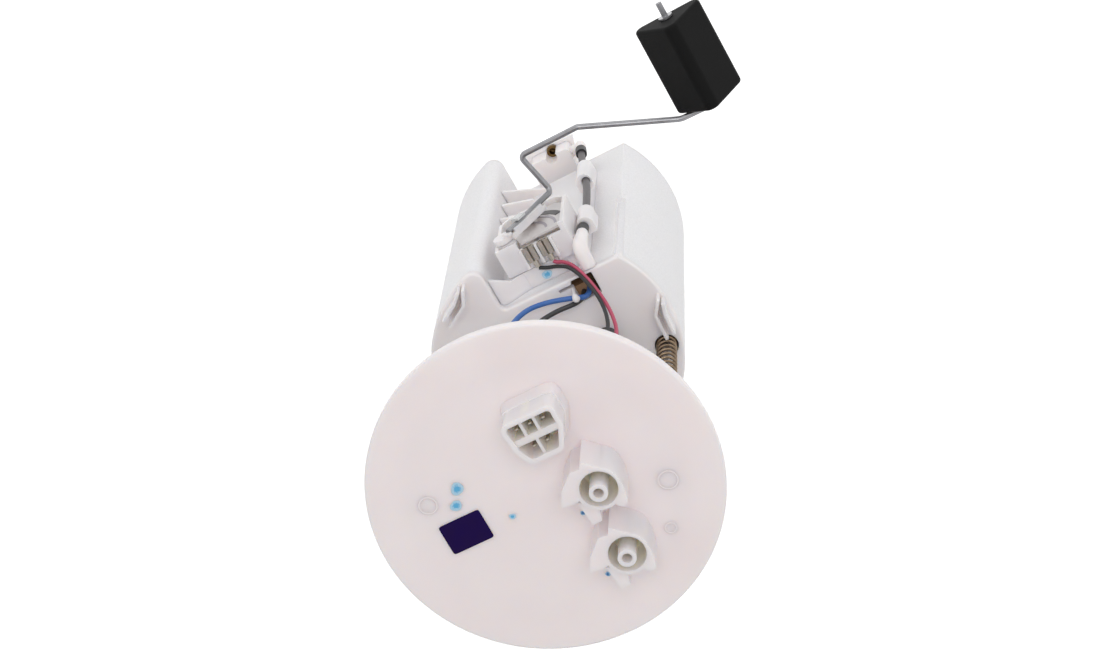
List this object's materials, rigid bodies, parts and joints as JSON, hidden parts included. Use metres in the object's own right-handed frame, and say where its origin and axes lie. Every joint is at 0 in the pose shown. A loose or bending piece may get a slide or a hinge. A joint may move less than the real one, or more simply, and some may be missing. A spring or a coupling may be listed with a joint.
{
  "type": "fuel pump module",
  "caption": "In-tank fuel pump module: round flange with ports and socket, sprung swirl pot on guide rods, electric pump inside, level sender with float arm.",
  "frame": {"origin": "Centre of the flange's underside, the face that rests on the tank", "axes": "+Z points out of the tank along the pot's slide, -Y is the side of the level sender"},
  "size_m": [0.1902, 0.1798, 0.296],
  "materials": {
    "flange_acetal": "moulded, satin white",
    "pot_acetal": "moulded, fine spark-eroded grain",
    "clear_plastic": "translucent, glossy",
    "black_plastic": "moulded",
    "brown_plastic": "moulded",
    "grey_tube": "extruded, smooth",
    "tin_plate": "tin plated",
    "spring_steel": "wound wire, bronze tint",
    "rod_steel": "ground",
    "wire_steel": "drawn wire",
    "case_steel": "zinc plated",
    "pump_aluminium": "die cast",
    "bush_brass": "turned",
    "contact_bronze": "stamped",
    "copper_bars": "machined",
    "magnet": "sintered",
    "card_ceramic": "fired",
    "track_ink": "printed",
    "hose_rubber": "extruded",
    "cushion_rubber": "moulded",
    "float_foam": "closed-cell moulded",
    "filter_cloth": "woven",
    "red_cover": "extruded",
    "blue_cover": "extruded",
    "black_cover": "extruded"
  },
  "bodies": {
    "flange": {"mounting_flange": "flange_acetal", "connector_pins": "tin_plate", "lead_connector": "black_plastic", "guide_rod_right": "rod_steel", "guide_rod_left": "rod_steel", "rod_clips": "spring_steel", "spring_right": "spring_steel", "spring_left": "spring_steel", "feed_hose": "hose_rubber", "return_hose": "hose_rubber", "lead_red": "red_cover", "lead_black": "black_cover", "lead_blue": "blue_cover", "lead_earth": "black_cover"},
    "pot": {"base_plate": "pot_acetal", "bracket_bush": "bush_brass", "elbow_fitting": "pot_acetal", "inlet_valve": "cushion_rubber", "jet_pump": "pot_acetal", "outlet_hose": "hose_rubber", "pump_case": "case_steel", "pump_cushion": "cushion_rubber", "pump_end_cap": "brown_plastic", "pump_holder": "pot_acetal", "pump_inlet_cover": "pump_aluminium", "pump_magnets": "magnet", "pump_plug": "brown_plastic", "pump_terminals": "tin_plate", "reservoir_cover": "pot_acetal", "reservoir_cup": "pot_acetal", "resistor_card": "card_ceramic", "resistor_tracks": "track_ink", "return_pipe": "grey_tube", "sender_bracket": "pot_acetal", "sender_frame": "pot_acetal", "sender_terminals": "tin_plate", "suction_filter": "filter_cloth", "transfer_tube": "grey_tube", "tube_collars": "black_plastic"},
    "float_arm": {"float_arm": "wire_steel", "arm_holder": "pot_acetal", "wire_clip": "clear_plastic", "contact_wiper": "contact_bronze", "float_washer": "rod_steel"},
    "float": {"float": "float_foam"},
    "pump_rotor": {"armature": "case_steel", "commutator": "copper_bars", "pump_shaft": "rod_steel", "impeller": "black_plastic"}
  },
  "joints": [
    {"name": "pot_slide", "type": "slide", "parent": "flange", "child": "pot", "axis": [0, 0, 1], "range_m": [0, 0.03], "stiffness_N_per_m": 250, "springref_m": -0.06, "deforming": ["spring_right", "spring_left", "feed_hose", "return_hose", "lead_red", "lead_black", "lead_blue", "lead_earth"]},
    {"name": "arm_swing", "type": "hinge", "parent": "pot", "child": "float_arm", "pos_m": [-0.002, -0.0566, -0.139], "axis": [0, 1, 0], "range_deg": [-38, 50]},
    {"name": "float_turn", "type": "hinge", "parent": "float_arm", "child": "float", "pos_m": [-0.1051, -0.0835, -0.1635], "axis": [0, 1, 0], "continuous": true},
    {"name": "rotor_spin", "type": "hinge", "parent": "pot", "child": "pump_rotor", "pos_m": [-0.013, -0.005, -0.2], "axis": [0, 0, 1], "continuous": true}
  ]
}
